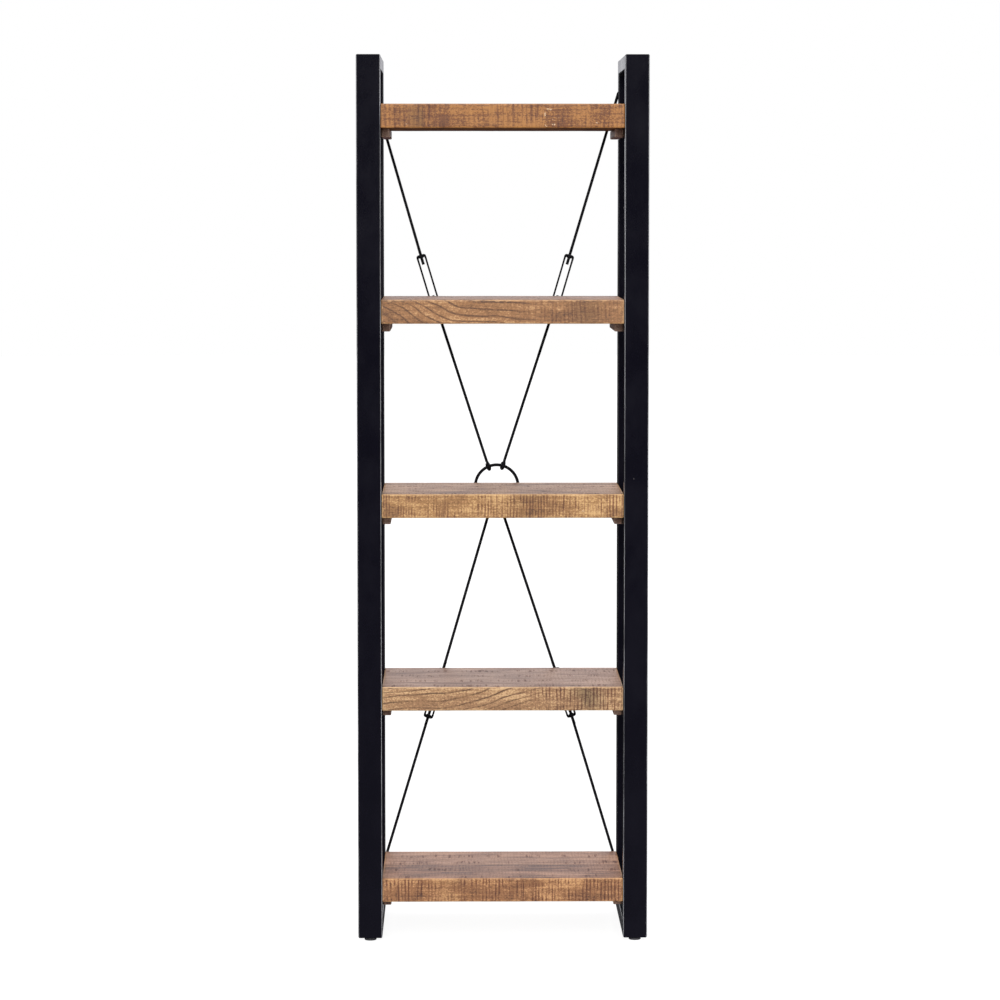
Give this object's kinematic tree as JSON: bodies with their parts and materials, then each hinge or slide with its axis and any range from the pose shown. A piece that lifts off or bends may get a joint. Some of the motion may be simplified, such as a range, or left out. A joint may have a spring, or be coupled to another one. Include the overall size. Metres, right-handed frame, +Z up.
{
  "type": "bookcase with adjustable shelves",
  "caption": "Tall open bookcase: two black box-section steel side frames, thick rough-sawn timber shelves on battens, and an X brace of tensioned rods and a ring behind.",
  "frame": {"origin": "on the floor, in the middle of the footprint", "axes": "+X to the right of a person facing the front, +Y to the back, +Z up"},
  "size_m": [0.6, 0.35, 1.831],
  "materials": {
    "black_steel": "satin black powder coat",
    "mango_wood": "rough-sawn mango wood, clear matt lacquer",
    "black_nylon": "moulded nylon",
    "zinc_steel": "zinc plated"
  },
  "bodies": {
    "frame": {"left_front_post": "black_steel", "left_back_post": "black_steel", "left_bottom_rail": "black_steel", "left_top_rail": "black_steel", "right_front_post": "black_steel", "right_back_post": "black_steel", "right_bottom_rail": "black_steel", "right_top_rail": "black_steel", "foot_nuts": "zinc_steel", "shelf_pin_nuts": "zinc_steel", "shelf_pins": "zinc_steel", "bottom_shelf": "mango_wood", "bottom_left_batten": "mango_wood", "bottom_right_batten": "mango_wood", "bottom_left_bar": "black_steel", "bottom_right_bar": "black_steel", "bottom_screws": "zinc_steel", "top_shelf": "mango_wood", "top_left_batten": "mango_wood", "top_right_batten": "mango_wood", "top_left_bar": "black_steel", "top_right_bar": "black_steel", "top_screws": "zinc_steel", "brace_ring": "black_steel", "upper_left_post_rod": "black_steel", "upper_left_ring_rod": "black_steel", "upper_right_post_rod": "black_steel", "upper_right_ring_rod": "black_steel", "lower_left_post_rod": "black_steel", "lower_left_ring_rod": "black_steel", "lower_right_post_rod": "black_steel", "lower_right_ring_rod": "black_steel"},
    "lower_shelf_set": {"lower_shelf": "mango_wood", "lower_left_batten": "mango_wood", "lower_right_batten": "mango_wood", "lower_left_hanger": "black_steel", "lower_right_hanger": "black_steel", "lower_screws": "zinc_steel"},
    "middle_shelf_set": {"middle_shelf": "mango_wood", "middle_left_batten": "mango_wood", "middle_right_batten": "mango_wood", "middle_left_hanger": "black_steel", "middle_right_hanger": "black_steel", "middle_screws": "zinc_steel"},
    "upper_shelf_set": {"upper_shelf": "mango_wood", "upper_left_batten": "mango_wood", "upper_right_batten": "mango_wood", "upper_left_hanger": "black_steel", "upper_right_hanger": "black_steel", "upper_screws": "zinc_steel"},
    "upper_left_turnbuckle": {"upper_left_turnbuckle": "black_steel"},
    "upper_right_turnbuckle": {"upper_right_turnbuckle": "black_steel"},
    "lower_left_turnbuckle": {"lower_left_turnbuckle": "black_steel"},
    "lower_right_turnbuckle": {"lower_right_turnbuckle": "black_steel"},
    "left_front_foot": {"left_front_foot": "black_nylon"},
    "left_back_foot": {"left_back_foot": "black_nylon"},
    "right_front_foot": {"right_front_foot": "black_nylon"},
    "right_back_foot": {"right_back_foot": "black_nylon"}
  },
  "joints": [
    {"name": "lower_shelf_lift", "type": "slide", "parent": "frame", "child": "lower_shelf_set", "axis": [0, 0, 1], "range_m": [0, 0.33]},
    {"name": "middle_shelf_lift", "type": "slide", "parent": "frame", "child": "middle_shelf_set", "axis": [0, 0, 1], "range_m": [0, 0.33]},
    {"name": "upper_shelf_lift", "type": "slide", "parent": "frame", "child": "upper_shelf_set", "axis": [0, 0, 1], "range_m": [0, 0.33]},
    {"name": "upper_left_turnbuckle_turn", "type": "hinge", "parent": "frame", "child": "upper_left_turnbuckle", "pos_m": [-0.1555, 0.16, 1.36455], "axis": [0.2883, 0, -0.9575], "range_deg": [-180, 180]},
    {"name": "upper_right_turnbuckle_turn", "type": "hinge", "parent": "frame", "child": "upper_right_turnbuckle", "pos_m": [0.1316, 0.16, 1.36455], "axis": [-0.2814, 0, -0.9596], "range_deg": [-180, 180]},
    {"name": "lower_left_turnbuckle_turn", "type": "hinge", "parent": "frame", "child": "lower_left_turnbuckle", "pos_m": [-0.141, 0.16, 0.4738], "axis": [0.3017, 0, 0.9534], "range_deg": [-180, 180]},
    {"name": "lower_right_turnbuckle_turn", "type": "hinge", "parent": "frame", "child": "lower_right_turnbuckle", "pos_m": [0.1349, 0.16, 0.4751], "axis": [-0.3357, 0, 0.942], "range_deg": [-180, 180]},
    {"name": "left_front_foot_level", "type": "slide", "parent": "frame", "child": "left_front_foot", "axis": [0, 0, 1], "range_m": [-0.008, 0]},
    {"name": "left_back_foot_level", "type": "slide", "parent": "frame", "child": "left_back_foot", "axis": [0, 0, 1], "range_m": [-0.008, 0]},
    {"name": "right_front_foot_level", "type": "slide", "parent": "frame", "child": "right_front_foot", "axis": [0, 0, 1], "range_m": [-0.008, 0]},
    {"name": "right_back_foot_level", "type": "slide", "parent": "frame", "child": "right_back_foot", "axis": [0, 0, 1], "range_m": [-0.008, 0]}
  ]
}
